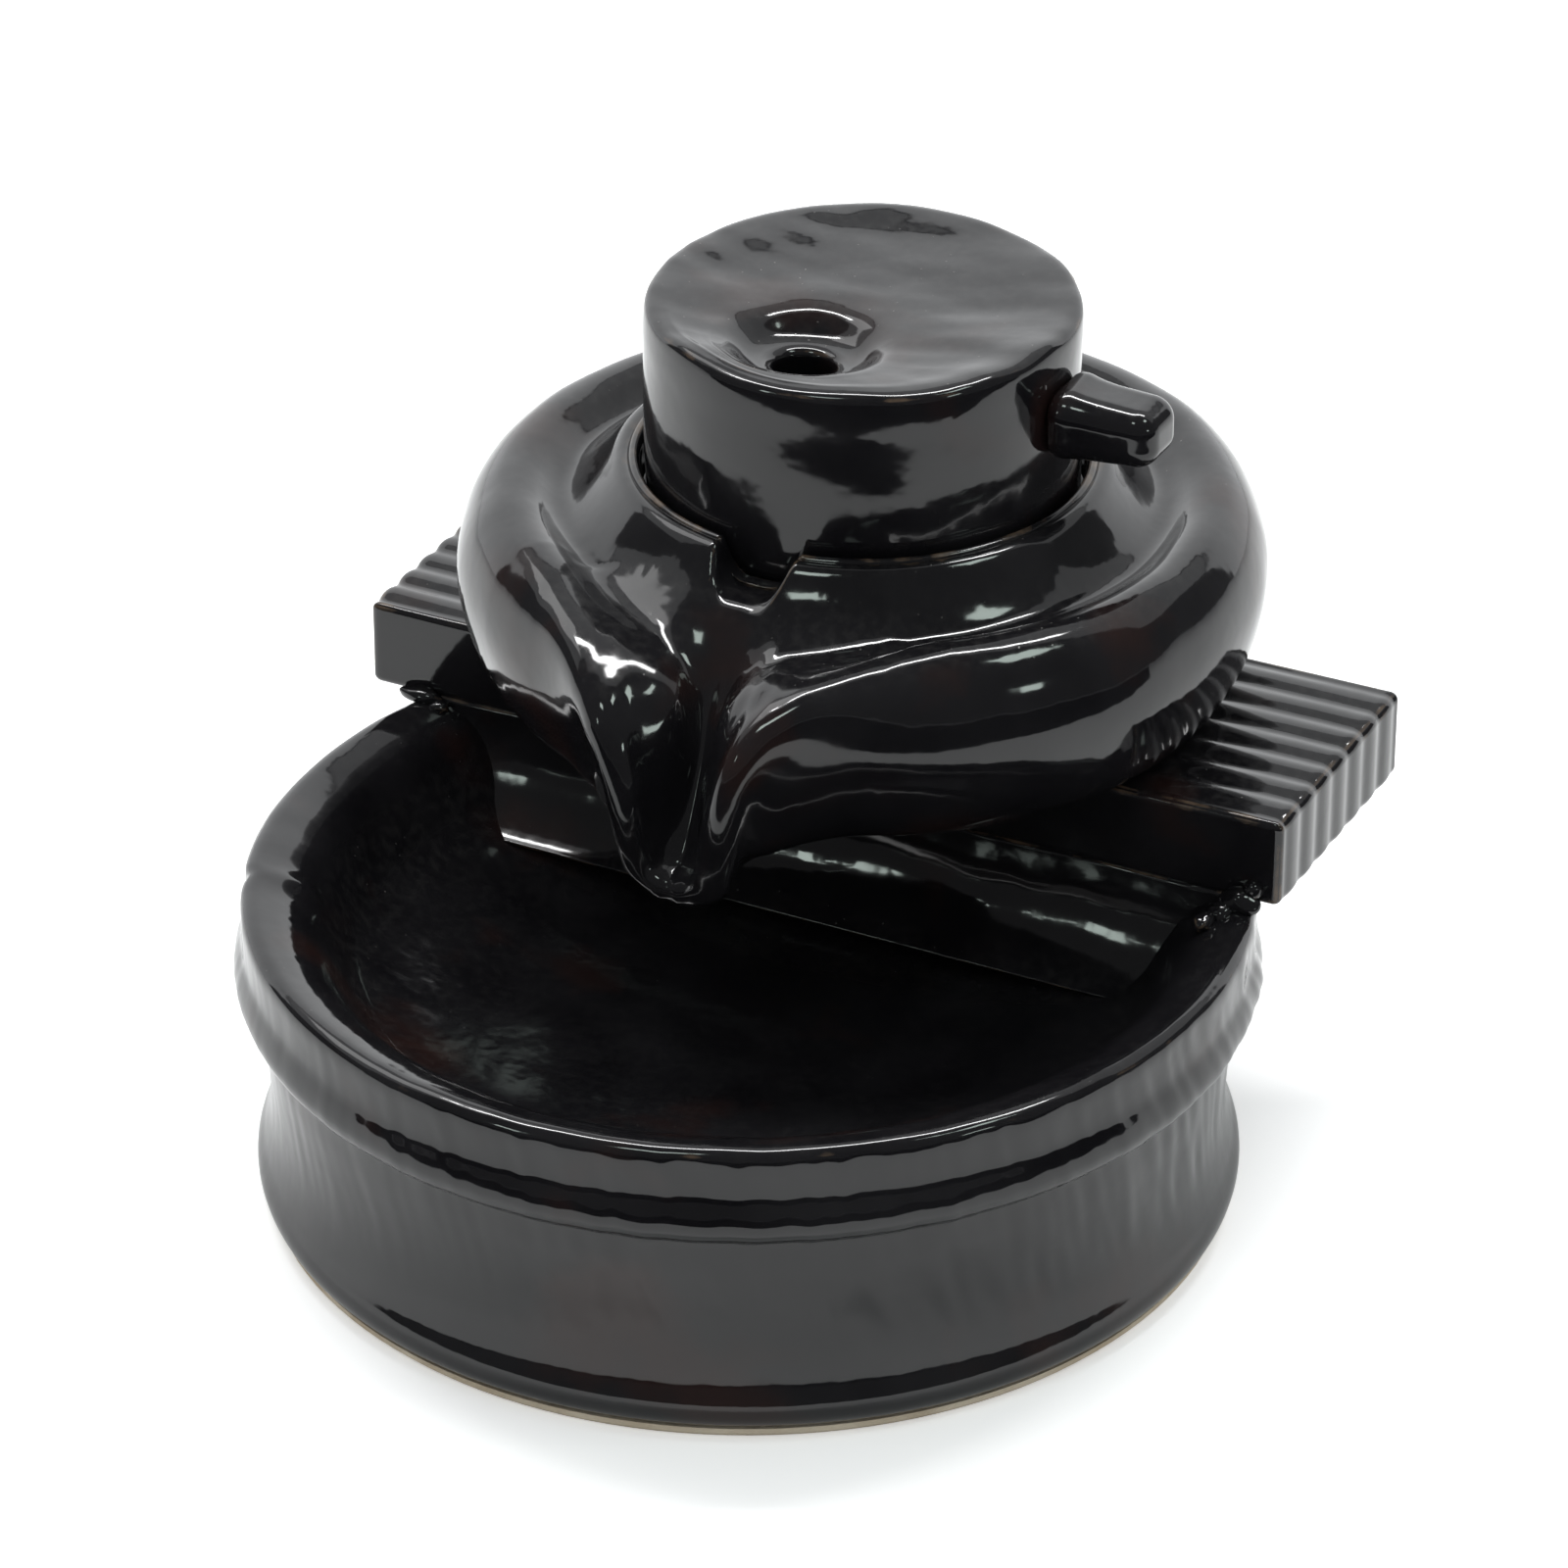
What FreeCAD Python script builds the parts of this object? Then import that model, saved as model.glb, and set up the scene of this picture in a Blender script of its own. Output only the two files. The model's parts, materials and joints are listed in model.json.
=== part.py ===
import FreeCAD, Part
import math
import os

import Sketcher

# Backflow incense burner in the shape of a hand mill that stands on a plank over a round basin.
#
# Frame: origin at the centre of the basin's underside, +Z up, millimetres.  The plank runs along X
# and the spout pours towards -Y.  The mill (bed stone, seat ring, runner stone) has an axis of its
# own, parallel to Z, and each of its bodies is drawn about that axis and placed there.

SIZES = {
    # basin
    "base_radius": 52.2,
    "base_edge": 1.2,
    "base_plug_radius": 45.4,
    "base_thickness": 4.0,
    "vent_radius": 1.5,
    "vent_offset": 22.0,
    "foot_radius": 53.4,
    "foot_height": 2.6,
    "waist_radius": 51.8,
    "collar_radius": 54.9,
    "collar_seat": 52.4,
    "collar_drop": 11.8,
    "rim_height": 36.0,
    "rim_outer": 52.4,
    "rim_inner": 49.2,
    "lip_radius": 47.4,
    "dish_radius": 42.3,
    "dish_depth": 11.6,
    "dish_flat_radius": 33.0,
    "floor_thickness": 5.5,
    # bridge
    "plank_length": 110.3,
    "plank_depth": 32.6,
    "plank_thickness": 10.4,
    "plank_front": 19.1,
    "plank_shift": -1.8,
    "plank_corner": 1.2,
    "rib_count": 7,
    "rib_pitch": 4.3,
    "rib_depth": 0.6,
    "rib_groove": 1.3,
    "wall_thickness": 6.0,
    "bead_radius": 3.0,
    # mill
    "mill_setback": 31.0,
    "bed_base_radius": 38.0,
    "bed_radius": 43.9,
    "bed_bulge_height": 13.2,
    "roll_height": 22.6,
    "roll_radius": 37.4,
    "gutter_radius": 33.4,
    "gutter_height": 20.1,
    "bed_top_height": 20.6,
    "channel_width": 5.6,
    "channel_depth": 4.6,
    "channel_start": 12.0,
    "ring_height": 5.6,
    "ring_top_width": 1.8,
    "ring_foot_width": 5.3,
    "notch_width": 9.4,
    "notch_bevel": 1.0,
    # runner stone
    "runner_radius": 23.4,
    "runner_height": 24.0,
    "runner_gap": 0.9,
    "runner_wall": 5.0,
    "runner_crown": 4.4,
    "runner_edge": 1.4,
    "top_dish": 1.7,
    "dimple_radius": 7.0,
    "dimple_depth": 3.0,
    "dimple_offset": 10.2,
    "dimple_side": -2.0,
    "smoke_hole_radius": 3.3,
    "peg_length": 11.9,
    "peg_width": 8.4,
    "peg_height": 7.0,
    "peg_level": 15.4,
    "peg_corner": 1.8,
    # spout
    "spout_turn": 2.0,
    "spout_width": 21.0,
    "spout_root": 31.4,
    "spout_reach": 46.8,
    "spout_drop": 4.7,
    "spout_lip": 3.0,
}

doc = FreeCAD.newDocument("incense_burner")
sheet = doc.addObject("Spreadsheet::Sheet", "Sizes")
for row, (alias, number) in enumerate(SIZES.items(), start=1):
    sheet.set(f"A{row}", alias)
    sheet.set(f"B{row}", str(number))
    sheet.setAlias(f"B{row}", alias)
doc.recompute()


class Size:
    """A length worked out from the sheet: its number now, and the expression that keeps it live."""

    def __init__(self, number, text):
        self.number = number
        self.text = text

    def _with(self, other, sign, number):
        return Size(number, f"({self.text} {sign} {other.text})")

    def __add__(self, other):
        other = as_size(other)
        return self._with(other, "+", self.number + other.number)

    def __sub__(self, other):
        other = as_size(other)
        return self._with(other, "-", self.number - other.number)

    def __mul__(self, other):
        other = as_size(other)
        return self._with(other, "*", self.number * other.number)

    def __truediv__(self, other):
        other = as_size(other)
        return self._with(other, "/", self.number / other.number)

    def __neg__(self):
        return Size(-self.number, f"(0 - {self.text})")


def as_size(value):
    """A plain number as a Size."""
    return value if isinstance(value, Size) else Size(float(value), f"{float(value):g}")


def cell(alias):
    """The Size of one cell of the sheet."""
    return Size(float(sheet.get(alias)), f"{sheet.Name}.{alias}")


def live(owner, place, size):
    """Bind one property of an object to a Size."""
    owner.setExpression(place, as_size(size).text)


# ---------------------------------------------------------------- drawing helpers


def new_body(name, x=None, y=None, turn=None):
    """A body with its own placement, bound to the sheet."""
    body = doc.addObject("PartDesign::Body", name)
    body.Label = name
    for axis, size in (("x", x), ("y", y)):
        if size is not None:
            live(body, f"Placement.Base.{axis}", size)
    if turn is not None:
        body.Placement.Rotation = FreeCAD.Rotation(FreeCAD.Vector(0, 0, 1), 0.001)
        live(body, "Placement.Rotation.Angle", turn)
    return body


def origin_plane(body, role):
    """One of a body's own origin planes."""
    return next(item for item in body.Origin.OriginFeatures if item.Role == role)


def new_sketch(body, name, role, offset=None, aside=None):
    """A sketch on one of the body's origin planes, moved along its normal and along its own x."""
    sketch = body.newObject("Sketcher::SketchObject", name)
    sketch.AttachmentSupport = [(origin_plane(body, role), "")]
    sketch.MapMode = "FlatFace"
    if offset is not None:
        live(sketch, "AttachmentOffset.Base.z", offset)
    if aside is not None:
        live(sketch, "AttachmentOffset.Base.x", aside)
    return sketch


def pin_point(sketch, geometry, end, point):
    """Hold one point of a sketch at two live distances from the sketch's origin."""
    for kind, axis, size in (("DistanceX", -2, as_size(point[0])), ("DistanceY", -1, as_size(point[1]))):
        if size.text == "0":
            sketch.addConstraint(Sketcher.Constraint("PointOnObject", geometry, end, axis))
            continue
        index = sketch.addConstraint(Sketcher.Constraint(kind, -1, 1, geometry, end, size.number))
        live(sketch, f"Constraints[{index}]", size)


def outline(sketch, *stations):
    """A closed outline through its stations.

    A station is (u, v) for a corner, or ("by", u, v) for the point that an arc between two corners
    passes through.
    """
    corners = [item for item in stations if item[0] != "by"]
    bends = {}
    for item in stations:
        if item[0] == "by":
            bends[seen] = item[1:]
        else:
            seen = corners.index(item)
    flat = [FreeCAD.Vector(as_size(u).number, as_size(v).number, 0) for u, v in corners]
    edges = []
    for number, start in enumerate(flat):
        finish = flat[(number + 1) % len(flat)]
        if number in bends:
            middle = FreeCAD.Vector(*[as_size(item).number for item in bends[number]], 0)
            arc = Part.Arc(start, middle, finish)
            edge = sketch.addGeometry(arc)
            forward = sketch.getPoint(edge, 1).distanceToPoint(start) < 1e-4
            on_arc = sketch.addGeometry(Part.Point(middle), True)
            sketch.addConstraint(Sketcher.Constraint("PointOnObject", on_arc, 1, edge))
            pin_point(sketch, on_arc, 1, bends[number])
        else:
            edge = sketch.addGeometry(Part.LineSegment(start, finish))
            forward = True
        edges.append((edge, 1 if forward else 2, 2 if forward else 1))
    for number, (edge, first, last) in enumerate(edges):
        following = edges[(number + 1) % len(edges)]
        sketch.addConstraint(Sketcher.Constraint("Coincident", edge, last, following[0], following[1]))
        pin_point(sketch, edge, first, corners[number])


def rectangle(sketch, left, bottom, right, top):
    """A live rectangle."""
    outline(sketch, (left, bottom), (right, bottom), (right, top), (left, top))


def rounded_rectangle(sketch, left, bottom, right, top, corner):
    """A live rectangle with round corners."""
    near = corner * (1 - math.sqrt(0.5))
    outline(
        sketch,
        (left + corner, bottom), (right - corner, bottom), ("by", right - near, bottom + near),
        (right, bottom + corner), (right, top - corner), ("by", right - near, top - near),
        (right - corner, top), (left + corner, top), ("by", left + near, top - near),
        (left, top - corner), (left, bottom + corner), ("by", left + near, bottom + near),
    )


def circle(sketch, centre, radius):
    """A live circle."""
    where = FreeCAD.Vector(as_size(centre[0]).number, as_size(centre[1]).number, 0)
    geometry = sketch.addGeometry(Part.Circle(where, FreeCAD.Vector(0, 0, 1), radius.number))
    pin_point(sketch, geometry, 3, centre)
    index = sketch.addConstraint(Sketcher.Constraint("Radius", geometry, radius.number))
    live(sketch, f"Constraints[{index}]", radius)


def volume_of(body):
    """The body's volume after a recompute, or nothing while it is empty."""
    doc.recompute()
    return 0.0 if body.Shape.isNull() else body.Shape.Volume


def turned(body, name, sketch, cut=False):
    """A full turn of a sketch about its own vertical axis, added or cut away."""
    before = volume_of(body)
    feature = body.newObject("PartDesign::Groove" if cut else "PartDesign::Revolution", name)
    feature.Profile = sketch
    feature.ReferenceAxis = (sketch, ["V_Axis"])
    feature.Angle = 360
    sketch.Visibility = False
    if volume_of(body) == before:
        raise RuntimeError(f"{name} changed nothing")
    return feature


def pad(body, name, sketch, length, midplane=False, backwards=False):
    """A straight extrusion of a sketch."""
    feature = body.newObject("PartDesign::Pad", name)
    feature.Profile = sketch
    live(feature, "Length", length)
    feature.Midplane = midplane
    feature.Reversed = backwards
    return feature


def pocket(body, name, sketch, length, midplane=False, backwards=False):
    """A straight cut of a sketch, checked to have taken material away."""
    before = volume_of(body)
    feature = body.newObject("PartDesign::Pocket", name)
    feature.Profile = sketch
    live(feature, "Length", length)
    feature.Midplane = midplane
    feature.Reversed = backwards
    if volume_of(body) >= before - 1e-3:
        raise RuntimeError(f"{name} cut nothing")
    return feature


# ---------------------------------------------------------------- shared levels

rim_height = cell("rim_height")
dish_floor = rim_height - cell("dish_depth")
collar_foot = rim_height - cell("collar_drop")
plank_top = rim_height + cell("plank_thickness")
plank_middle = cell("plank_front") + cell("plank_depth") / 2
bed_top = plank_top + cell("bed_top_height")
mill_x = cell("plank_shift")
mill_y = cell("mill_setback")
ring_inner = cell("runner_radius") + cell("runner_gap")
ring_foot = ring_inner + cell("ring_foot_width")
runner_top = bed_top + cell("runner_height")


def dish_wall():
    """The inside of the basin from the middle of the dish floor to the crown of the rim."""
    steep = cell("dish_radius") - 1.2
    knee = rim_height - cell("dish_depth") * 0.6
    return [
        (0, dish_floor),
        (cell("dish_flat_radius"), dish_floor),
        ("by", cell("dish_radius") - 3.6, dish_floor + 1.5),
        (steep, knee),
        (cell("dish_radius"), rim_height - 2.2),
        (cell("lip_radius"), rim_height - 0.9),
        (cell("rim_inner"), rim_height),
    ]


# ---------------------------------------------------------------- basin

basin_base = new_body("basin_base")
base_profile = new_sketch(basin_base, "base_profile", "XZ_Plane")
outline(
    base_profile,
    (0, 0), (cell("base_radius") - 0.6, 0), (cell("base_radius"), 0.6), (cell("base_radius"), cell("base_edge")),
    (cell("base_plug_radius"), cell("base_edge")), (cell("base_plug_radius"), cell("base_thickness")),
    (0, cell("base_thickness")),
)
turned(basin_base, "base_disc", base_profile)
vent_sketch = new_sketch(basin_base, "vent_sketch", "XY_Plane")
circle(vent_sketch, (cell("vent_offset"), 0), cell("vent_radius"))
pocket(basin_base, "vent", vent_sketch, cell("base_thickness"), backwards=True)

basin = new_body("basin")
basin_profile = new_sketch(basin, "basin_profile", "XZ_Plane")
hollow_top = dish_floor - cell("floor_thickness")
outline(
    basin_profile,
    *dish_wall(),
    (cell("rim_outer"), rim_height),
    ("by", cell("collar_radius") - 0.8, rim_height - 0.7),
    (cell("collar_radius") - 0.2, rim_height - 1.9),
    ("by", cell("collar_radius") + 0.1, collar_foot + cell("collar_drop") * 0.5),
    (cell("collar_radius") - 0.2, collar_foot + 2.6),
    ("by", cell("collar_seat") + 1.5, collar_foot + 0.9),
    (cell("collar_seat"), collar_foot),
    ("by", cell("waist_radius"), collar_foot * 0.5),
    (cell("foot_radius"), cell("foot_height")),
    (cell("base_radius") + 0.6, cell("base_edge")),
    (cell("base_plug_radius"), cell("base_edge")),
    (cell("base_plug_radius"), hollow_top - 6),
    ("by", cell("base_plug_radius") - 1.8, hollow_top - 1.8),
    (cell("base_plug_radius") - 6, hollow_top),
    (0, hollow_top),
)
turned(basin, "basin_shell", basin_profile)

# ---------------------------------------------------------------- bridge

bridge_wall = new_body("bridge_wall")
slab_sketch = new_sketch(bridge_wall, "slab_sketch", "XY_Plane", dish_floor - 4)
rectangle(
    slab_sketch,
    -cell("lip_radius"), cell("plank_front"), cell("lip_radius"), cell("plank_front") + cell("wall_thickness"),
)
pad(bridge_wall, "slab", slab_sketch, cell("dish_depth") + 4)
trim_sketch = new_sketch(bridge_wall, "trim_sketch", "XZ_Plane")
outline(
    trim_sketch,
    *dish_wall(),
    (cell("collar_radius") * 1.5, rim_height), (cell("collar_radius") * 1.5, dish_floor - 8),
    (0, dish_floor - 8),
)
turned(bridge_wall, "dish_trim", trim_sketch, cut=True)

bridge_plank = new_body("bridge_plank", x=cell("plank_shift"))
plank_section = new_sketch(bridge_plank, "plank_section", "YZ_Plane")
rounded_rectangle(
    plank_section,
    cell("plank_front"), rim_height, cell("plank_front") + cell("plank_depth"), plank_top,
    cell("plank_corner"),
)
pad(bridge_plank, "board", plank_section, cell("plank_length"), midplane=True)
rib_sketch = new_sketch(bridge_plank, "rib_sketch", "YZ_Plane")
first_rib = plank_middle - cell("rib_pitch") * (cell("rib_count") - 1) / 2
rib_half = cell("rib_groove")
outline(
    rib_sketch,
    (first_rib - rib_half, plank_top + 0.2), ("by", first_rib, plank_top - cell("rib_depth")),
    (first_rib + rib_half, plank_top + 0.2),
)
rib_cut = pocket(bridge_plank, "rib_cut", rib_sketch, cell("plank_length") + 2, midplane=True)
ribs = bridge_plank.newObject("PartDesign::LinearPattern", "ribs")
ribs.Originals = [rib_cut]
ribs.Direction = (rib_sketch, ["H_Axis"])
ribs.Mode = "Spacing"
live(ribs, "Offset", cell("rib_pitch"))
live(ribs, "Occurrences", cell("rib_count"))
bridge_plank.Tip = ribs

bead_parts = []
for side in (-1, 1):
    bead = doc.addObject("Part::Sphere", "bead_left" if side < 0 else "bead_right")
    live(bead, "Radius", cell("bead_radius"))
    bead.Angle1 = 0
    bead.Angle2 = 90
    bead.Angle3 = 180
    bead.Placement.Rotation = FreeCAD.Rotation(FreeCAD.Vector(0, 0, 1), 180)
    crown = (cell("rim_outer") + cell("rim_inner")) / 2
    reach = f"sqrt({crown.text} ^ 2 - {cell('plank_front').text} ^ 2)"
    bead.setExpression("Placement.Base.x", f"{side} * {reach}")
    live(bead, "Placement.Base.y", cell("plank_front"))
    live(bead, "Placement.Base.z", rim_height)
    bead_parts.append(bead)
rim_joints = doc.addObject("Part::Compound", "rim_joints")
rim_joints.Label = "rim_joints"
rim_joints.Links = bead_parts

# ---------------------------------------------------------------- bed stone, ring and spout

lower_stone = new_body("lower_stone", x=mill_x, y=mill_y)
bed_profile = new_sketch(lower_stone, "bed_profile", "XZ_Plane")
bulge_level = plank_top + cell("bed_bulge_height")
roll_crest = plank_top + cell("roll_height")
gutter_level = plank_top + cell("gutter_height")
bed_overhang = cell("bed_radius") - cell("bed_base_radius")
outline(
    bed_profile,
    (0, plank_top),
    (cell("bed_base_radius"), plank_top),
    ("by", cell("bed_base_radius") + bed_overhang * 0.72, plank_top + cell("bed_bulge_height") * 0.48),
    (cell("bed_radius"), bulge_level),
    ("by", cell("bed_radius") - bed_overhang * 0.27, roll_crest - 3.0),
    (cell("roll_radius") + 1.0, roll_crest),
    ("by", cell("roll_radius") - 2.4, roll_crest - 1.6),
    (cell("gutter_radius"), gutter_level),
    ("by", (cell("gutter_radius") + ring_foot) / 2, gutter_level),
    (ring_foot, bed_top),
    (0, bed_top),
)
turned(lower_stone, "bed", bed_profile)
smoke_sketch = new_sketch(lower_stone, "smoke_sketch", "XY_Plane", bed_top - cell("channel_depth"))
rectangle(
    smoke_sketch,
    -cell("channel_width") / 2, -(ring_inner + 1.4), cell("channel_width") / 2, -cell("channel_start"),
)
pocket(lower_stone, "smoke_channel", smoke_sketch, cell("channel_depth") + 4, backwards=True)
seat_sketch = new_sketch(lower_stone, "spout_seat_sketch", "XY_Plane", plank_top - 1)
# The seat turns with the spout, so its corners are worked out from the spout's own angle.
turn_cos = Size(
    math.cos(math.radians(cell("spout_turn").number)), f"cos({cell('spout_turn').text} * 1 deg)")
turn_sin = Size(
    math.sin(math.radians(cell("spout_turn").number)), f"sin({cell('spout_turn').text} * 1 deg)")


def spout_corner(across, along):
    """A point of the spout's plan, turned about the mill's axis."""
    return (across * turn_cos + along * turn_sin, across * turn_sin - along * turn_cos)


half_spout = cell("spout_width") / 2
seat_far = cell("bed_radius") + 6
outline(
    seat_sketch,
    spout_corner(-half_spout, cell("spout_root")), spout_corner(half_spout, cell("spout_root")),
    spout_corner(half_spout, seat_far), spout_corner(-half_spout, seat_far),
)
pocket(lower_stone, "spout_seat", seat_sketch, cell("bed_top_height") + 4, backwards=True)

spout = new_body("spout", x=mill_x, y=mill_y, turn=cell("spout_turn"))
lip = cell("spout_lip")
reach_span = cell("spout_reach") - cell("spout_root")
tip_level = plank_top - cell("spout_drop")
# Each station: share of the reach, share of the width, lip top, shoulder, keel and channel floor.
STATIONS = (
    (0.00, 1.00, gutter_level + 0.8, plank_top + 1.0, plank_top, gutter_level - 0.6),
    (0.38, 1.00, roll_crest - 1.4, plank_top + 1.0, plank_top, gutter_level - 2.8),
    (0.66, 0.90, roll_crest - 5.0, plank_top + 1.2, plank_top - 1.0, plank_top + 6.6),
    (0.86, 0.62, roll_crest - 9.6, plank_top + 1.4, tip_level + 1.6, plank_top + 1.8),
    (1.00, 0.34, plank_top + 3.4, plank_top + 0.4, tip_level, tip_level + 2.4),
)
sections = []
for number, (share, spread, crest, shoulder, keel, floor) in enumerate(STATIONS):
    along = cell("spout_root") + reach_span * share
    section = new_sketch(spout, f"spout_section_{number}", "XZ_Plane", along)
    half = half_spout * spread
    inner = half - lip * (0.5 + 0.5 * spread)
    outline(
        section,
        (-half, crest), (-half, shoulder), (0, keel), (half, shoulder), (half, crest),
        (inner, crest), (0, floor), (-inner, crest),
    )
    sections.append(section)
doc.recompute()
spout_loft = spout.newObject("PartDesign::AdditiveLoft", "spout_loft")
spout_loft.Profile = sections[0]
spout_loft.Sections = sections[1:]
spout_loft.Ruled = True

seat_ring = new_body("seat_ring", x=mill_x, y=mill_y)
ring_profile = new_sketch(seat_ring, "ring_profile", "XZ_Plane")
ring_top = bed_top + cell("ring_height")
outline(
    ring_profile,
    (ring_inner, bed_top), (ring_foot, bed_top),
    (ring_inner + cell("ring_top_width"), ring_top - 0.6),
    ("by", ring_inner + cell("ring_top_width") / 2, ring_top),
    (ring_inner, ring_top - 0.6),
)
turned(seat_ring, "ring", ring_profile)
notch_sketch = new_sketch(seat_ring, "notch_sketch", "XZ_Plane")
notch_half = cell("notch_width") / 2
notch_shoulder = bed_top + notch_half * 0.7
outline(
    notch_sketch,
    (-notch_half, ring_top + 2), (-notch_half, notch_shoulder), ("by", 0, bed_top - cell("notch_bevel")),
    (notch_half, notch_shoulder), (notch_half, ring_top + 2),
)
pocket(seat_ring, "smoke_notch", notch_sketch, ring_foot + 5, backwards=True)

# ---------------------------------------------------------------- runner stone and its peg

upper_stone = new_body("upper_stone", x=mill_x, y=mill_y)
runner_profile = new_sketch(upper_stone, "runner_profile", "XZ_Plane")
runner_radius = cell("runner_radius")
cavity_radius = runner_radius - cell("runner_wall")
dimple_floor = runner_top - cell("top_dish") - cell("dimple_depth")
cavity_top = dimple_floor - cell("runner_crown")
edge = cell("runner_edge")
outline(
    runner_profile,
    (0, cavity_top), (cavity_radius - 3, cavity_top), (cavity_radius, cavity_top - 3), (cavity_radius, bed_top),
    (runner_radius - 0.8, bed_top), (runner_radius, bed_top + 0.8), (runner_radius, runner_top - edge),
    ("by", runner_radius - edge * 0.3, runner_top - edge * 0.3),
    (runner_radius - edge, runner_top),
    ("by", (runner_radius - edge) / 2, runner_top - cell("top_dish") * 0.8),
    (0, runner_top - cell("top_dish")),
)
turned(upper_stone, "runner", runner_profile)
dimple_side = cell("dimple_side")
dimple_sketch = new_sketch(upper_stone, "dimple_sketch", "XZ_Plane", cell("dimple_offset"), dimple_side)
outline(
    dimple_sketch,
    (0, dimple_floor), (cell("smoke_hole_radius") + 0.3, dimple_floor),
    ("by", cell("dimple_radius") * 0.84, dimple_floor + cell("dimple_depth") * 0.38),
    (cell("dimple_radius"), runner_top - cell("top_dish") * 0.5),
    (cell("dimple_radius"), runner_top + 2), (0, runner_top + 2),
)
turned(upper_stone, "dimple", dimple_sketch, cut=True)
hole_sketch = new_sketch(upper_stone, "hole_sketch", "XY_Plane", cavity_top - 1)
circle(hole_sketch, (dimple_side, -cell("dimple_offset")), cell("smoke_hole_radius"))
pocket(upper_stone, "smoke_hole", hole_sketch, cell("runner_crown") + 2, backwards=True)

turning_peg = new_body("turning_peg", x=mill_x, y=mill_y)
peg_section = new_sketch(turning_peg, "peg_section", "YZ_Plane")
peg_middle = bed_top + cell("peg_level")
peg_half = cell("peg_width") / 2
peg_rise = cell("peg_height") / 2
rounded_rectangle(
    peg_section, -peg_half, peg_middle - peg_rise, peg_half, peg_middle + peg_rise, cell("peg_corner"))
pad(turning_peg, "bar", peg_section, runner_radius + cell("peg_length"))
root_sketch = new_sketch(turning_peg, "root_sketch", "XZ_Plane")
rectangle(root_sketch, 0, peg_middle - cell("peg_height"), runner_radius, peg_middle + cell("peg_height"))
turned(turning_peg, "root_trim", root_sketch, cut=True)

# ---------------------------------------------------------------- checks and export

doc.recompute()
NODES = (
    basin_base, basin, bridge_wall, bridge_plank, rim_joints,
    lower_stone, spout, seat_ring, upper_stone, turning_peg,
)
for item in doc.Objects:
    if "Invalid" in item.State or "Error" in item.State:
        raise RuntimeError(f"{item.Name} failed: {item.State}")
for node in NODES:
    if node.Shape.isNull() or not node.Shape.isValid():
        raise RuntimeError(f"{node.Label} has no valid shape")

os.makedirs("parts", exist_ok=True)
for node in NODES:
    node.Shape.exportStep(f"parts/{node.Label}.step")
    box = node.Shape.optimalBoundingBox(False)
    print(
        f"{node.Label:14s} solids {len(node.Shape.Solids)} volume {node.Shape.Volume / 1000:8.2f} cm3 "
        f"x {box.XMin:7.2f} {box.XMax:7.2f} y {box.YMin:7.2f} {box.YMax:7.2f} z {box.ZMin:6.2f} {box.ZMax:6.2f}")
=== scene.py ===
"""Looks of a black glazed backflow incense burner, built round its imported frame.

The burner is a round basin whose rim carries a ribbed bridge, and on the bridge stands a small stone
mill: a bed stone with a gutter and a pouring spout, a seat ring with a notch, and a hollow runner
stone with a dimple for the cone and a turning peg.  Work is in millimetres until a mesh is finished.
"""

import json
import logging
import math
from dataclasses import dataclass, field
from enum import Enum
from typing import Callable, Iterable, Optional, Sequence, Union

import bmesh
import bpy
from mathutils import Matrix, Vector, noise


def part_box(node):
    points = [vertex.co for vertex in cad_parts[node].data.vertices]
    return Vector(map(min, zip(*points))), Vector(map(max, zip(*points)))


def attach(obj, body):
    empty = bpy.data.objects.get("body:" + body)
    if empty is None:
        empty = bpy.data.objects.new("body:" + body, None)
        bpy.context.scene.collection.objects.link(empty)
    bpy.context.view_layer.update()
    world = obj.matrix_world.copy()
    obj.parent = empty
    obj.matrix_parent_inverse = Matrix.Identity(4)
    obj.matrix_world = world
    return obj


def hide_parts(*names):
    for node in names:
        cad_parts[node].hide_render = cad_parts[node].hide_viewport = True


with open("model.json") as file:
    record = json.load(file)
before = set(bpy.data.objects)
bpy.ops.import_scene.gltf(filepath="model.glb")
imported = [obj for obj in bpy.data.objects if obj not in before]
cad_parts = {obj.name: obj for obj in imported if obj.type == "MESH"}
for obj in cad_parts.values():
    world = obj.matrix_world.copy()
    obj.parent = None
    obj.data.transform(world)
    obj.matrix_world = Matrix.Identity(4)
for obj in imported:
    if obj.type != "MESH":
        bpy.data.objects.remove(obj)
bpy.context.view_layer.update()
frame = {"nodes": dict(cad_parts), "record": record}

LOG = logging.getLogger("incense_burner")
MM = 0.001
FULL_TURN = 2 * math.pi
SECTORS = 16
SPAN_LIMIT = 9
Stations = Sequence[tuple[float, float]]
Warp = Callable[[Vector], Vector]


# ---------------------------------------------------------------- numbers and curves

def smooth_step(low: float, high: float, value: float) -> float:
    """Eases from 0 at low to 1 at high.

    Args:
        low: value where the ease starts.
        high: value where it ends.
        value: the value to ease.

    Returns:
        A number from 0 to 1.
    """
    share = min(1.0, max(0.0, (value - low) / (high - low)))
    return share * share * (3 - 2 * share)


def bump(distance: float, reach: float) -> float:
    """A soft hill of height 1 that fades out a few reaches away."""
    return math.exp(-((distance / reach) ** 2))


def soft_min(first: float, second: float, blend: float) -> float:
    """The lower of two numbers, with the corner between them rounded.

    Args:
        first: one number.
        second: the other number.
        blend: width of the rounding.

    Returns:
        The rounded minimum.
    """
    share = min(1.0, max(0.0, 0.5 + 0.5 * (second - first) / blend))
    return second + (first - second) * share - blend * share * (1 - share)


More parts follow.
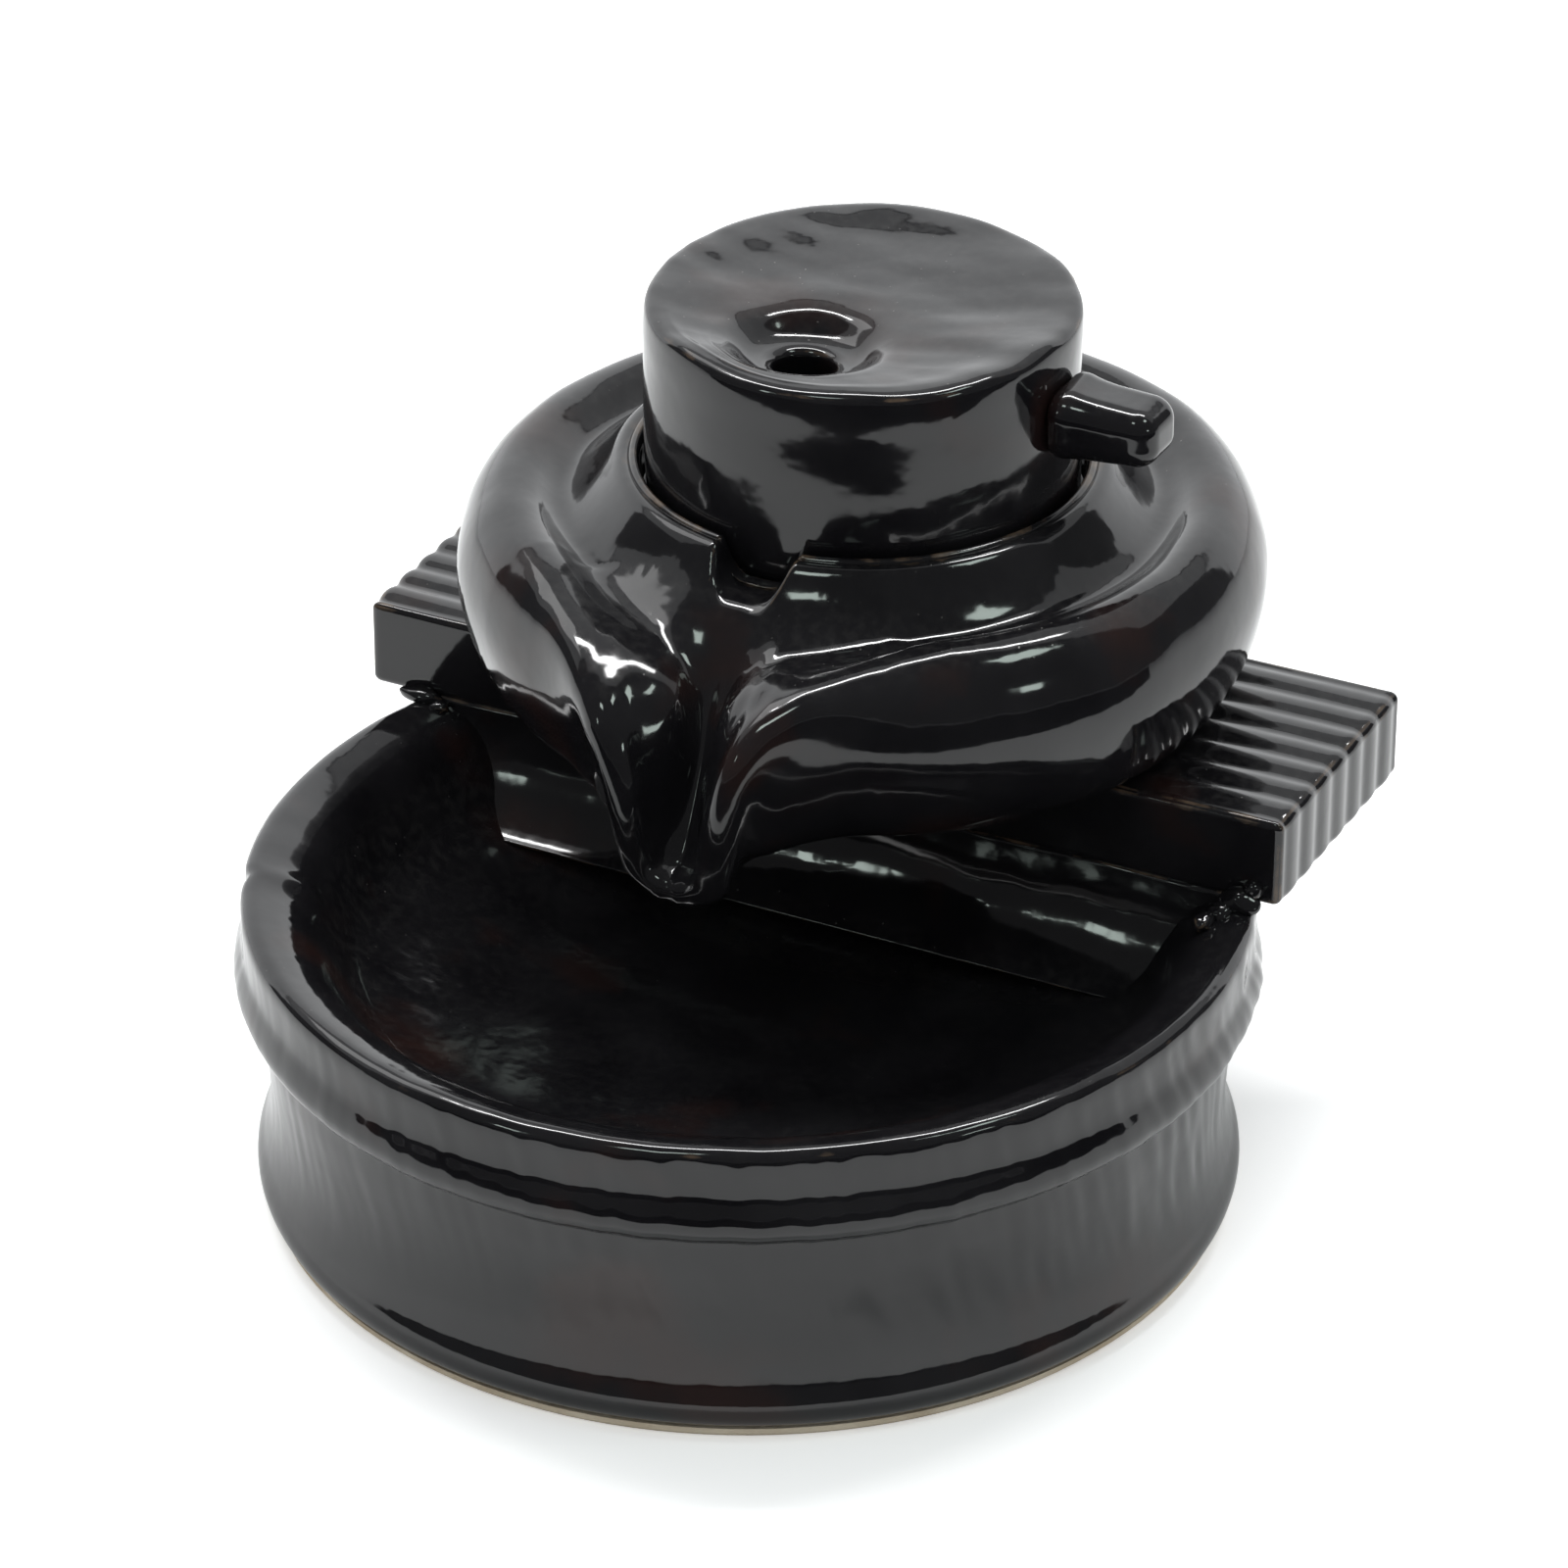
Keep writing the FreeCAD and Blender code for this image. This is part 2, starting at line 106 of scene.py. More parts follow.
def read_curve(keys: Stations, value: float) -> float:
    """Reads a smooth curve that passes through a few keys.

    Args:
        keys: (position, height) pairs in rising order of position.
        value: the position to read.

    Returns:
        The height there; the end keys' heights outside the keys.
    """
    if value <= keys[0][0]:
        return keys[0][1]
    if value >= keys[-1][0]:
        return keys[-1][1]
    spot = next(i for i in range(len(keys) - 1) if keys[i + 1][0] >= value)

    def slope(index: int) -> float:
        """Slope of the curve at one key."""
        before, after = keys[max(0, index - 1)], keys[min(len(keys) - 1, index + 1)]
        return (after[1] - before[1]) / (after[0] - before[0])

    (start, low), (end, high) = keys[spot], keys[spot + 1]
    span = end - start
    t = (value - start) / span
    return (
        (2 * t**3 - 3 * t**2 + 1) * low + (t**3 - 2 * t**2 + t) * span * slope(spot)
        + (3 * t**2 - 2 * t**3) * high + (t**3 - t**2) * span * slope(spot + 1)
    )


def rounded_outline(stations: Stations, step: float) -> list[Vector]:
    """Runs a smooth outline through a few stations; a station given twice stays a corner.

    Args:
        stations: (radius, height) pairs in order along the outline.
        step: the wanted distance between outline points.

    Returns:
        Outline points in the XZ plane, from the first station to the last.
    """
    spots = [Vector((radius, 0, height)) for radius, height in stations]
    outline = [spots[0]]
    for index in range(len(spots) - 1):
        start, end = spots[index], spots[index + 1]
        length = (end - start).length
        if length == 0:
            continue
        before, after = spots[max(0, index - 1)], spots[min(len(spots) - 1, index + 2)]
        leave = (end - before) * (length / max(length + (start - before).length, 1e-6))
        arrive = (after - start) * (length / max(length + (after - end).length, 1e-6))
        pieces = min(SPAN_LIMIT, max(1, round(length / step)))
        for number in range(1, pieces + 1):
            t = number / pieces
            outline.append(
                start * (2 * t**3 - 3 * t**2 + 1) + leave * (t**3 - 2 * t**2 + t)
                + end * (3 * t**2 - 2 * t**3) + arrive * (t**3 - t**2))
    return outline


def ripple(spot: Vector, size: float, seed: float) -> float:
    """Smooth seeded noise, about -1 to 1, whose lumps are about size across."""
    return noise.noise(spot / size + Vector((seed, seed * 1.7, seed * 0.6)))


# ---------------------------------------------------------------- places in the frame

@dataclass(frozen=True)
class Block:
    """A CAD node's box, in millimetres."""

    low: Vector
    high: Vector

    @classmethod
    def of(cls, node: str) -> "Block":
        """The box of one CAD node at rest."""
        low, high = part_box(node)
        return cls(low / MM, high / MM)

    @property
    def middle(self) -> Vector:
        """The middle of the box."""
        return (self.low + self.high) / 2

    @property
    def half(self) -> Vector:
        """Half the size of the box."""
        return (self.high - self.low) / 2


# ---------------------------------------------------------------- finishes

Value = Union["Wire", float, tuple]


class Wire:
    """A shader socket that sums write themselves on as Math nodes."""

    def __init__(self, net: "Net", socket: Optional[bpy.types.NodeSocket]) -> None:
        """Keeps the socket and the net that it belongs to."""
        self.net = net
        self.socket = socket

    def _math(self, operation: str, first: Value, second: Value) -> "Wire":
        """Adds one Math node."""
        return self.net.add("ShaderNodeMath", {"operation": operation}, {0: first, 1: second})

    def __add__(self, other: Value) -> "Wire":
        """Sum."""
        return self._math("ADD", self, other)

    __radd__ = __add__

    def __mul__(self, other: Value) -> "Wire":
        """Product."""
        return self._math("MULTIPLY", self, other)

    __rmul__ = __mul__

    def __sub__(self, other: Value) -> "Wire":
        """Difference."""
        return self._math("SUBTRACT", self, other)

    def __rsub__(self, other: Value) -> "Wire":
        """Difference, the other way round."""
        return self._math("SUBTRACT", other, self)


class Net:
    """One node material being wired."""

    def __init__(self, name: str) -> None:
        """Makes an empty node material."""
        self.material = bpy.data.materials.new(name)
        self.material.use_nodes = True
        self.tree = self.material.node_tree
        self.tree.nodes.clear()

    def add(self, kind: str, settings: dict, values: dict, out: Union[int, str] = 0) -> Wire:
        """Adds a node, sets it up and fills its sockets.

        Args:
            kind: Blender's name for the node type.
            settings: the node's own settings; "stops" is a ramp's list of (position, grey level).
            values: a number, a colour or a wire for each input socket named or numbered.
            out: which output the wire takes.

        Returns:
            The wire from the chosen output.
        """
        node = self.tree.nodes.new(kind)
        for name, setting in settings.items():
            if name == "stops":
                for stop, (position, level) in zip(self._stops(node, len(setting)), setting):
                    stop.position = position
                    stop.color = (level, level, level, 1)
            else:
                setattr(node, name, setting)
        for name, value in values.items():
            if isinstance(value, Wire):
                self.tree.links.new(value.socket, node.inputs[name])
            else:
                node.inputs[name].default_value = value
        return Wire(self, node.outputs[out] if node.outputs else None)

    @staticmethod
    def _stops(node: bpy.types.Node, count: int) -> list:
        """The stops of a ramp, with enough of them made."""
        elements = node.color_ramp.elements
        while len(elements) < count:
            elements.new(1.0)
        return list(elements)

    def place(self) -> Wire:
        """The point's place on the piece, in metres."""
        return self.add("ShaderNodeTexCoord", {}, {}, "Object")

    def clouds(self, scale: float, detail: float, where: Optional[Wire] = None) -> Wire:
        """Cloudy noise from 0 to 1."""
        values = {"Vector": where or self.place(), "Scale": scale, "Detail": detail}
        return self.add("ShaderNodeTexNoise", {}, values, "Fac")

    def ramp(self, wire: Wire, *stops: tuple) -> Wire:
        """Maps a wire through grey stops."""
        return self.add("ShaderNodeValToRGB", {"stops": stops}, {"Fac": wire})

    def blend(self, share: Value, first: Value, second: Value) -> Wire:
        """Mixes two colours by a share."""
        values = {0: share, 6: first, 7: second}
        return self.add("ShaderNodeMix", {"data_type": "RGBA"}, values, 2)

    def finish(self, shader: Wire) -> bpy.types.Material:
        """Joins the shader to the output and gives the material."""
        self.add("ShaderNodeOutputMaterial", {}, {"Surface": shader})
        return self.material


@dataclass(frozen=True)
class BlackGlaze:
    """A thick glossy black glaze that breaks brown where it runs thin over an edge."""

    name: str = "black_glaze"
    deep: tuple = (0.0042, 0.0040, 0.0048, 1)
    cloudy: tuple = (0.0085, 0.0082, 0.0092, 1)
    iron: tuple = (0.016, 0.0072, 0.0060, 1)
    thin: tuple = (0.115, 0.078, 0.05, 1)
    dust: tuple = (0.30, 0.29, 0.27, 1)
    gloss: float = 0.055
    dustiness: float = 0.5

    def material(self) -> bpy.types.Material:
        """Wires the glaze."""
        net = Net(self.name)
        clouds = net.clouds(90, 3)
        pool = net.blend(net.ramp(clouds, (0.35, 0), (0.7, 1)), self.deep, self.cloudy)
        iron_spots = net.ramp(net.clouds(55, 4), (0.56, 0), (0.68, 0.75))
        body = net.blend(iron_spots, pool, self.iron)
        edge = net.add("ShaderNodeAttribute", {"attribute_name": "thin"}, {}, "Fac")
        broken = net.ramp(edge * net.clouds(300, 3), (0.42, 0), (0.7, 0.8))
        glazed = net.blend(broken, body, self.thin)
        speck = net.add("ShaderNodeTexVoronoi", {}, {"Vector": net.place(), "Scale": 620.0}, "Distance")
        patches = net.ramp(net.clouds(38, 2), (0.42, 0.12), (0.72, 1))
        grains = net.ramp(speck, (0.045, 1), (0.085, 0)) * patches
        settled = net.add("ShaderNodeAttribute", {"attribute_name": "dust"}, {}, "Fac")
        film = settled * net.ramp(net.clouds(900, 5), (0.44, 0), (0.72, 1)) * self.dustiness
        soiled = net.blend(grains * 0.35 * settled + film * 0.05, glazed, self.dust)
        roughness = (
            self.gloss + net.ramp(net.clouds(150, 4), (0.3, 0), (0.8, 0.05)) + broken * 0.16
            + film * 0.08 + grains * settled * 0.3)
        skin = net.clouds(230, 2) * 0.5 + net.clouds(75, 1) + grains * settled * 0.05
        normal = net.add(
            "ShaderNodeBump", {}, {"Strength": 0.10, "Distance": 0.0011, "Height": skin}, "Normal")
        values = {"Base Color": soiled, "Roughness": roughness, "IOR": 1.52, "Normal": normal}
        return net.finish(net.add("ShaderNodeBsdfPrincipled", {}, values))


@dataclass(frozen=True)
class BareClay:
    """Unglazed buff stoneware, slightly sandy and darker where it has rubbed."""

    name: str = "bare_clay"
    buff: tuple = (0.56, 0.49, 0.38, 1)
    toasted: tuple = (0.42, 0.34, 0.24, 1)

    def material(self) -> bpy.types.Material:
        """Wires the clay."""
        net = Net(self.name)
        colour = net.blend(net.ramp(net.clouds(160, 6), (0.35, 0), (0.7, 1)), self.buff, self.toasted)
        sand = net.clouds(1400, 4)
        roughness = 0.78 + sand * 0.18
        normal = net.add(
            "ShaderNodeBump", {}, {"Strength": 0.5, "Distance": 0.0003, "Height": sand}, "Normal")
        values = {"Base Color": colour, "Roughness": roughness, "Normal": normal}
        return net.finish(net.add("ShaderNodeBsdfPrincipled", {}, values))


class Finish(Enum):
    """The finishes that a piece can have, by the record's slots."""

    GLAZE = "black_glaze"
    CLAY = "bare_clay"


FINISHES = {Finish.GLAZE: BlackGlaze(), Finish.CLAY: BareClay()}
_made: dict[Finish, bpy.types.Material] = {}


def finish_material(finish: Finish) -> bpy.types.Material:
    """The one shared material of a finish."""
    if finish not in _made:
        _made[finish] = FINISHES[finish].material()
    return _made[finish]


# ---------------------------------------------------------------- clay: meshes and how they are shaped

class Clay:
    """A lump of clay on the wheel: a bmesh in millimetres with the moves that shape it."""

    def __init__(self) -> None:
        """Starts with nothing."""
        self.bm = bmesh.new()

    def throw(self, outline: Sequence[Vector], steps: int, centre: Vector) -> "Clay":
        """Spins an outline through one sector and doubles the sector into a closed round form.

        Args:
            outline: points in the XZ plane, radius along X.
            steps: how many columns the full turn has, a multiple of SECTORS.
            centre: the axis.

        Returns:
            This lump.
        """
        verts = [self.bm.verts.new(point) for point in outline]
        for first, second in zip(verts, verts[1:]):
            self.bm.edges.new((first, second))
        bmesh.ops.spin(
            self.bm, geom=self.bm.verts[:] + self.bm.edges[:], cent=(0, 0, 0), axis=(0, 0, 1),
            angle=FULL_TURN / SECTORS, steps=steps // SECTORS, use_duplicate=False)
        sectors = 1
        while sectors < SECTORS:
            copy = bmesh.ops.duplicate(self.bm, geom=self.bm.verts[:] + self.bm.edges[:] + self.bm.faces[:])
            turned = [item for item in copy["geom"] if isinstance(item, bmesh.types.BMVert)]
            turn = Matrix.Rotation(FULL_TURN / SECTORS * sectors, 3, "Z")
            bmesh.ops.rotate(self.bm, verts=turned, cent=(0, 0, 0), matrix=turn)
            sectors *= 2
        bmesh.ops.translate(self.bm, verts=self.bm.verts, vec=(centre.x, centre.y, 0))
        return self.close()

    def slab(self, block: Block, cuts: int, crowd: float, corner: float) -> "Clay":
        """A block with rounded edges and a fine skin that is finest near its edges.

        Args:
            block: where the slab lies.
            cuts: how often each edge is divided.
            crowd: above 1 crowds the divisions towards the edges.
            corner: radius of the edges.

        Returns:
            This lump.
        """
        bmesh.ops.create_cube(self.bm, size=2)
        bmesh.ops.subdivide_edges(self.bm, edges=self.bm.edges[:], cuts=cuts, use_grid_fill=True)
        half = block.half
        core = Vector(max(0.0, side - corner) for side in half)
        for vert in self.bm.verts:
            spread = Vector(
                math.copysign(1 - (1 - min(1.0, abs(place))) ** crowd, place) * side
                for place, side in zip(vert.co, half))
            inside = Vector(max(-edge, min(edge, place)) for place, edge in zip(spread, core))
            out = spread - inside
            vert.co = block.middle + inside + (out.normalized() * corner if out.length > 0 else out)
        return self.close()

    def lump(self, middle: Vector, size: Vector, seed: float) -> "Clay":
        """Adds a small irregular drop of glaze.

        Args:
            middle: its middle.
            size: its half sizes.
            seed: which lumps it gets.

        Returns:
            This lump.
        """
        made = bmesh.ops.create_icosphere(self.bm, subdivisions=4, radius=1)["verts"]
        for vert in made:
            swell = 1 + 0.22 * ripple(vert.co, 0.9, seed)
            vert.co = middle + Vector(a * b * swell for a, b in zip(vert.co, size))
        return self

    def close(self) -> "Clay":
        """Merges doubles and turns the faces outwards."""
        bmesh.ops.remove_doubles(self.bm, verts=self.bm.verts, dist=1e-4)
        bmesh.ops.recalc_face_normals(self.bm, faces=self.bm.faces)
        return self

    def warp(self, move: Warp) -> "Clay":
        """Moves every point by one rule."""
        for vert in self.bm.verts:
            vert.co = move(vert.co)
        return self

    def knead(self, amount: Callable[[Vector, Vector], float]) -> "Clay":
        """Pushes the skin along its normals.

        Args:
            amount: gives the push, in millimetres, from a point and its normal.

        Returns:
            This lump.
        """
        self.bm.normal_update()
        pushes = [vert.normal * amount(vert.co, vert.normal) for vert in self.bm.verts]
        for vert, push in zip(self.bm.verts, pushes):
            vert.co += push
        return self

    def wear(self, sharp: float, dusty: Callable[[Vector, Vector], float]) -> "Clay":
        """Notes where the glaze is thin, on convex edges, and where dust settles.

        Args:
            sharp: curvature, in 1/mm, at which the glaze is thinnest.
            dusty: gives the dust, 0 to 1, from a point and its normal.

        Returns:
            This lump.
        """
        thin = self.bm.verts.layers.float.new("thin")
        dust = self.bm.verts.layers.float.new("dust")
        self.bm.normal_update()
        for vert in self.bm.verts:
            rises = [
                (vert.co - edge.other_vert(vert).co).dot(vert.normal) / max(edge.calc_length(), 0.05) ** 2
                for edge in vert.link_edges]
            bend = 2 * max(rises, default=0.0)
            vert[thin] = min(1.0, max(0.0, bend / sharp))
            vert[dust] = min(1.0, max(0.0, dusty(vert.co, vert.normal)))
        return self


@dataclass
class Piece:
    """What every piece says: its name, its body, its finish and the nodes it stands for."""

    name: str
    body: str
    stands_for: tuple[str, ...]
    finish: Finish = Finish.GLAZE

    def hand_over(self, clay: Clay) -> bpy.types.Object:
        """Turns the clay into a finished object on its body.

        Args:
            clay: the shaped lump.

        Returns:
            The object, at the origin, with its place in its mesh.
        """
        bmesh.ops.scale(clay.bm, vec=(MM, MM, MM), verts=clay.bm.verts)
        mesh = bpy.data.meshes.new(self.name)
        clay.bm.to_mesh(mesh)
        clay.bm.free()
        mesh.shade_smooth()
        mesh.materials.append(finish_material(self.finish))
        piece = bpy.data.objects.new(self.name, mesh)
        bpy.context.scene.collection.objects.link(piece)
        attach(piece, self.body)
        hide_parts(*self.stands_for)
        LOG.info("%s: %d faces", self.name, len(mesh.polygons))
        return piece


def facing_up(point: Vector, normal: Vector) -> float:
    """Dust that settles on whatever faces up."""
    return smooth_step(0.55, 0.95, normal.z)


# ---------------------------------------------------------------- the basin

@dataclass
class Basin:
    """A low round basin with a collar, and the bare clay plate that closes its foot."""

    columns: int = 640
    step: float = 0.5
    outside: Stations = (
        (0, 1.2), (44, 1.2), (50.4, 1.2), (50.4, 1.2), (52.2, 1.5), (53.2, 2.7), (53.3, 4.3), (52.5, 6.4),
        (51.8, 9.6), (51.6, 13), (51.8, 17), (52.1, 20.5), (52.2, 22.8), (52.3, 24), (52.6, 24.7),
        (52.9, 24.7), (53.5, 24.9), (54.4, 25.6), (55, 26.9), (54.95, 28), (54.6, 29.2), (54.2, 30.3),
        (54.1, 31.4), (54.1, 33), (54.1, 34.6), (53.9, 35.4), (53.4, 35.85), (52.7, 36))
    inside: Stations = (
        (51.6, 35.8), (49.8, 35.2), (47.9, 34.1), (46.4, 32.5), (44.9, 30.3), (43.6, 28.3), (42.5, 26.7),
        (40.6, 25.2), (37.6, 24.1), (32, 23), (24, 22), (12, 21.2), (0, 21))
    streak: float = 0.15
    dent_at: tuple[float, float] = (205.0, 33.6)

    def __post_init__(self) -> None:
        """Reads the basin's place."""
        self.block = Block.of("basin")

    def fitted(self, stations: Stations) -> list[tuple[float, float]]:
        """Fits the outline to the basin's real radius and height.

        Args:
            stations: (radius, height) pairs.

        Returns:
            The pairs, stretched to the CAD basin.
        """
        widest = max(radius for radius, _ in self.outside)
        tallest = max(height for _, height in self.outside)
        lowest = min(height for _, height in self.outside)
        grow = (self.block.high.z - self.block.low.z) / (tallest - lowest)
        return [
            (radius * self.block.half.x / widest, self.block.low.z + (height - lowest) * grow)
            for radius, height in stations]

    def dish_radius(self, height: float) -> float:
        """The dish's radius at a height."""
        keys = sorted((z, radius) for radius, z in self.fitted(self.inside)[:-3])
        return read_curve(keys, height)

    def shape(self, point: Vector) -> Vector:
        """Hand-made unevenness: streaks down the wall, an uneven rim and a dent in the collar.

        Args:
            point: a point of the clay.

        Returns:
            Where it goes.
        """
        radius = math.hypot(point.x, point.y)
        if radius < 1:
            return point
        angle = math.atan2(point.y, point.x)
        outward = Vector((point.x / radius, point.y / radius, 0))
        around = Vector((math.cos(angle) * 60, math.sin(angle) * 60, 0))
        slant = around + Vector((0, 0, point.z * 0.22)) + Vector((-outward.y, outward.x, 0)) * point.z * 0.3
        wall = smooth_step(50.5, 51.5, radius) * smooth_step(8, 15, point.z)
        wall *= 1 - smooth_step(34, 35.6, point.z)
        side = 0.35 + 0.9 * smooth_step(-0.35, 0.8, math.cos(angle + 0.2))
        push = self.streak * wall * side * (ripple(slant, 2.1, 3.0) + 0.6 * ripple(slant, 4.7, 8.0))
        push += 0.08 * ripple(point, 26, 5.0)
        dent_angle = math.radians(self.dent_at[0])
        dent = Vector((math.cos(dent_angle) * radius, math.sin(dent_angle) * radius, self.dent_at[1]))
        push -= 0.55 * bump((point - dent).length, 1.7)
        push -= 0.3 * bump((point - dent - Vector((0, 0, 2.2))).length, 1.3)
        rim = smooth_step(44, 48, radius) * smooth_step(28, 34, point.z)
        lift = rim * (0.16 * ripple(around, 13, 1.0) + 0.10 * ripple(around, 6, 2.0))
        return point + outward * push + Vector((0, 0, lift))

    def dusty(self, point: Vector, normal: Vector) -> float:
        """Dust clings to the slope inside the dish.

        Args:
            point: a point of the clay.
            normal: its normal.

        Returns:
            The dust, 0 to 1.
        """
        radius = math.hypot(point.x, point.y)
        slope = smooth_step(36, 41, radius) * (1 - smooth_step(44, 47, radius)) * smooth_step(23, 25, point.z)
        return max(slope, 0.45 * facing_up(point, normal))

    def build(self) -> None:
        """Throws the basin and dresses the clay plate."""
        outline = rounded_outline(self.fitted(self.outside) + self.fitted(self.inside), self.step)
        clay = Clay().throw(outline, self.columns, Vector((0, 0, 0)))
        clay.warp(self.shape).wear(1.6, self.dusty)
        Piece("glazed_basin", "burner", ("basin",)).hand_over(clay)
        plate = frame["nodes"]["basin_base"]
        plate.data.materials.clear()
        plate.data.materials.append(finish_material(Finish.CLAY))
        LOG.info("basin_base: bare clay on the CAD plate")


# ---------------------------------------------------------------- the bridge

@dataclass
class Bridge:
    """The wall across the dish, the ribbed plank on it and the drops of glaze where it meets the rim."""

    basin: Basin
    cove: float = 7.0
    plank_cuts: int = 84
    corner: float = 1.1
    ribs: int = 7
    rib_pitch: float = 4.3
    rib_depth: float = 0.42
    end_rib_depth: float = 0.2
    rib_fade: float = 1.5

    def __post_init__(self) -> None:
        """Reads the bridge's place."""
        self.wall = Block.of("bridge_wall")
        self.plank = Block.of("bridge_plank")

    def wall_point(self, point: Vector) -> Vector:
        """Places a grid point, -1 to 1 across and up, on the wall's front.

        Args:
            point: a point of the grid.

        Returns:
            Its place on the cove.
        """
        rise = (point.y + 1) / 2
        height = self.wall.low.z + (self.wall.high.z - self.wall.low.z + 0.3) * rise ** 1.3
        foot = 1 - min(1.0, max(0.0, rise))
        front = self.wall.low.y - self.cove * foot ** 2
        reach = math.sqrt(max(1.0, self.basin.dish_radius(height) ** 2 - front * front)) + 1.2
        place = Vector((point.x * reach, front, height))
        hollow = 0.42 * ripple(Vector((place.x, 0, place.z * 0.6)), 13, 4.0)
        hollow += 0.10 * ripple(Vector((place.x, 0, place.z * 0.5)), 5, 9.0)
        place.y += hollow * (1 - foot ** 2)
        return place

    def build_wall(self) -> None:
        """Makes the wall: a grid on its front, pulled back to its thickness."""
        clay = Clay()
        bmesh.ops.create_grid(clay.bm, x_segments=300, y_segments=44, size=1)
        clay.warp(self.wall_point)
        front = clay.bm.faces[:]
        back = bmesh.ops.extrude_face_region(clay.bm, geom=front, use_keep_orig=True)["geom"]
        moved = [item for item in back if isinstance(item, bmesh.types.BMVert)]
        for vert in moved:
            vert.co.y = self.wall.high.y
        clay.close().wear(1.6, facing_up)
        Piece("bridge_wall_glazed", "burner", ("bridge_wall",)).hand_over(clay)

    def plank_shape(self, point: Vector) -> Vector:
        """Ribs along the top and down the ends, on a slightly warped board.

        Args:
            point: a point of the clay.

        Returns:
            Where it goes.
        """
        half, middle = self.plank.half, self.plank.middle
        across = point.y - middle.y
        wave = 0.35 * ripple(Vector((point.x, point.y * 0.4, 0)), 17, 6.0)
        phase = (across + wave) / self.rib_pitch
        groove = (0.5 - 0.5 * math.cos(FULL_TURN * phase)) ** 1.4
        ribbed = self.ribs * self.rib_pitch / 2
        within = 1 - smooth_step(ribbed, ribbed + self.rib_fade, abs(across))
        top = smooth_step(half.z * 0.4, half.z, point.z - middle.z)
        end = smooth_step(half.x - 1.6, half.x, abs(point.x - middle.x))
        down = self.rib_depth * groove * within * top * (0.85 + 0.3 * ripple(point, 14, 2.0))
        inward = self.end_rib_depth * groove * within * end * math.copysign(1, point.x - middle.x)
        bend = 0.25 * ripple(Vector((point.x, point.y, 0)), 40, 12.0)
        front = 0.12 * ripple(point, 11, 7.0) * smooth_step(half.y - 1, half.y, -across)
        return point + Vector((-inward, front, bend - down))

    def build_plank(self) -> None:
        """Makes the ribbed plank."""
        clay = Clay().slab(self.plank, self.plank_cuts, 1.5, self.corner)
        clay.warp(self.plank_shape).wear(1.3, facing_up)
        Piece("ribbed_plank", "burner", ("bridge_plank",)).hand_over(clay)

    def build_joints(self) -> None:
        """Drops of glaze that gathered where the plank's front meets the rim."""
        clay = Clay()
        box = Block.of("rim_joints")
        foot = Vector((0, box.high.y, box.low.z))
        right, left = box.high.x - 1.0, box.low.x - 0.2
        for x, y, z, size, seed in (
                (right, -0.8, 0.4, (2.3, 1.8, 1.7), 1), (right - 1.4, -2.4, -0.6, (1.5, 1.7, 1.2), 2),
                (right + 1.2, -0.3, 1.9, (1.1, 1.1, 1.1), 3), (right - 2.4, -4.6, -0.7, (1.1, 1.4, 1.0), 4),
                (left, -0.5, 0.3, (2.6, 1.3, 1.0), 5), (left + 2.6, -1.0, -0.4, (1.2, 1.1, 0.7), 6)):
            clay.lump(foot + Vector((x, y, z)), Vector(size), seed)
        clay.close().wear(2.5, facing_up)
        Piece("rim_joint_drops", "burner", ("rim_joints",)).hand_over(clay)

    def build(self) -> None:
        """Makes the whole bridge."""
        self.build_wall()
        self.build_plank()
        self.build_joints()


# ---------------------------------------------------------------- the mill

@dataclass
class Notch:
    """The smoke notch through the seat ring, open towards the spout."""

    centre: Vector
    floor: float
    top: float
    half_width: float = 4.7
    melt: float = 2.8

    def cut(self, point: Vector) -> Vector:
        """Presses whatever stands in the notch down to the notch's floor.

        Args:
            point: a point of the clay.

        Returns:
            Where it goes.
        """
        aside = abs(point.x - self.centre.x)
        if point.y > self.centre.y - 15 or aside > self.half_width + self.melt or point.z < self.floor - 2:
            return point
        level = self.floor + (self.top + 0.8 - self.floor) * (aside / self.half_width) ** 4.5
        pressed = soft_min(point.z, level, 1.2)
        return Vector((point.x, point.y, pressed + max(0.0, point.z - level) * 0.02))


